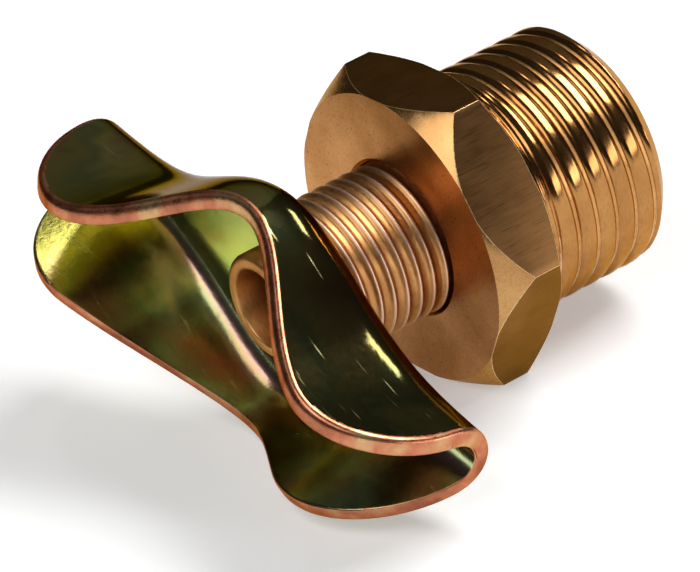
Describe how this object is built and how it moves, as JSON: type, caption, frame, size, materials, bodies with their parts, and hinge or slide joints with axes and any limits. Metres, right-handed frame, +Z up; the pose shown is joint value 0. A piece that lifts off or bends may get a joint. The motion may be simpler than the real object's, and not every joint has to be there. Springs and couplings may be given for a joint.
{
  "type": "radiator drain tap",
  "caption": "Brass hexagon drain tap with a male radiator thread, a hollow screw spindle and a folded plated-steel wing handle.",
  "frame": {"origin": "on the tap's axis at the hexagon face that meets the radiator boss", "axes": "+X along the axis into the radiator, +Z up and square to the hexagon flat that the loose tap lies on"},
  "size_m": [0.0324, 0.0368, 0.019],
  "materials": {
    "body_brass": "turned, satin",
    "spindle_brass": "turned, satin",
    "plated_steel": "zinc plated and yellow passivated, bright",
    "washer_rubber": "matte"
  },
  "bodies": {
    "body": {"tap_body": "body_brass"},
    "washer": {"seat_washer": "washer_rubber"},
    "handle": {"spindle": "spindle_brass", "wing_handle": "plated_steel"}
  },
  "joints": [
    {"name": "spindle_travel", "type": "slide", "parent": "body", "child": "washer", "axis": [-1, 0, 0], "range_m": [0, 0.00276]},
    {"name": "handle_turn", "type": "hinge", "parent": "washer", "child": "handle", "pos_m": [-0.006, 0, 0], "axis": [-1, 0, 0], "range_deg": [0, 990]}
  ],
  "couplings": [
    {"joint": "spindle_travel", "follows": "handle_turn", "m_per_rad": 0.00015915}
  ]
}
